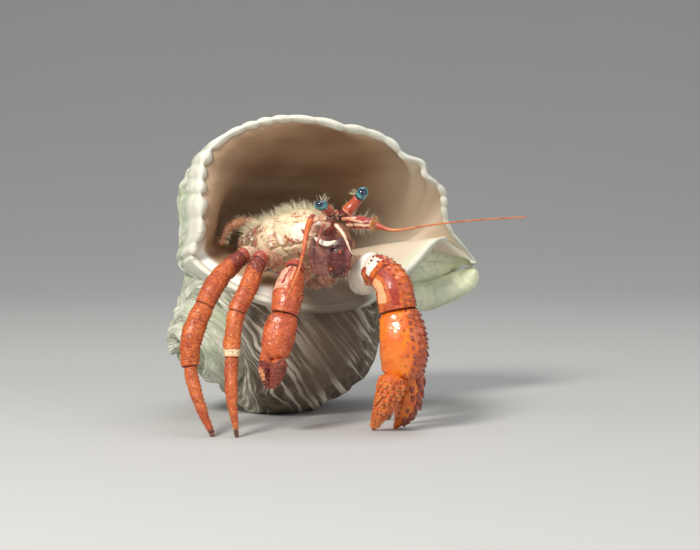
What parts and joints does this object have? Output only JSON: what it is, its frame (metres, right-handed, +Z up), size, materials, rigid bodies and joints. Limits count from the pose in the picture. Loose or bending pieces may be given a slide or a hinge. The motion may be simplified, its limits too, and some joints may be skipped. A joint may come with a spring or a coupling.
{
  "type": "hermit crab in a veined whelk shell, still life-size model",
  "caption": "Red hermit crab standing in the wide mouth of a veined whelk shell, life size, still, with its claws and walking legs out.",
  "frame": {"origin": "middle of the whole in plan, at floor level", "axes": "+Z up, the crab and the shell's mouth face -Y, the shell's long axis runs towards +X and +Y, its spire at -X"},
  "size_m": [0.1008, 0.1116, 0.0876],
  "materials": {
    "shell": "chalky pale green-grey with brown stripes, glossy brown inside",
    "leg_orange": "satin orange-red cuticle",
    "claw_orange": "glossy bright orange cuticle",
    "cream_cuticle": "satin cream cuticle with red marbling",
    "soft_pink": "satin pinkish soft skin",
    "maroon_cuticle": "satin dark red cuticle",
    "eye": "wet blue-green cornea"
  },
  "bodies": {
    "root": {"abdomen": "maroon_cuticle", "antenna_left_base": "maroon_cuticle", "antenna_left_whip": "leg_orange", "antenna_right_base": "maroon_cuticle", "antenna_right_whip": "leg_orange", "antennule_left": "soft_pink", "antennule_right": "soft_pink", "carapace_rear": "soft_pink", "carapace_shield": "cream_cuticle", "claw_left_carpus": "leg_orange", "claw_left_finger": "claw_orange", "claw_left_merus": "cream_cuticle", "claw_left_palm": "claw_orange", "claw_right_carpus": "leg_orange", "claw_right_finger": "leg_orange", "claw_right_merus": "soft_pink", "claw_right_palm": "leg_orange", "eye_left": "eye", "eye_right": "eye", "eyestalk_left": "leg_orange", "eyestalk_right": "leg_orange", "leg_left_2_carpus": "leg_orange", "leg_left_2_dactylus": "leg_orange", "leg_left_2_merus": "cream_cuticle", "leg_left_2_propodus": "leg_orange", "leg_left_3_carpus": "leg_orange", "leg_left_3_dactylus": "leg_orange", "leg_left_3_merus": "cream_cuticle", "leg_left_3_propodus": "leg_orange", "leg_left_4": "leg_orange", "leg_right_2_carpus": "leg_orange", "leg_right_2_dactylus": "leg_orange", "leg_right_2_merus": "cream_cuticle", "leg_right_2_propodus": "leg_orange", "leg_right_3_carpus": "leg_orange", "leg_right_3_dactylus": "leg_orange", "leg_right_3_merus": "cream_cuticle", "leg_right_3_propodus": "leg_orange", "leg_right_4": "leg_orange", "maxilliped_left": "maroon_cuticle", "maxilliped_right": "maroon_cuticle", "mouth": "maroon_cuticle", "shell": "shell", "thorax": "soft_pink"}
  },
  "joints": []
}
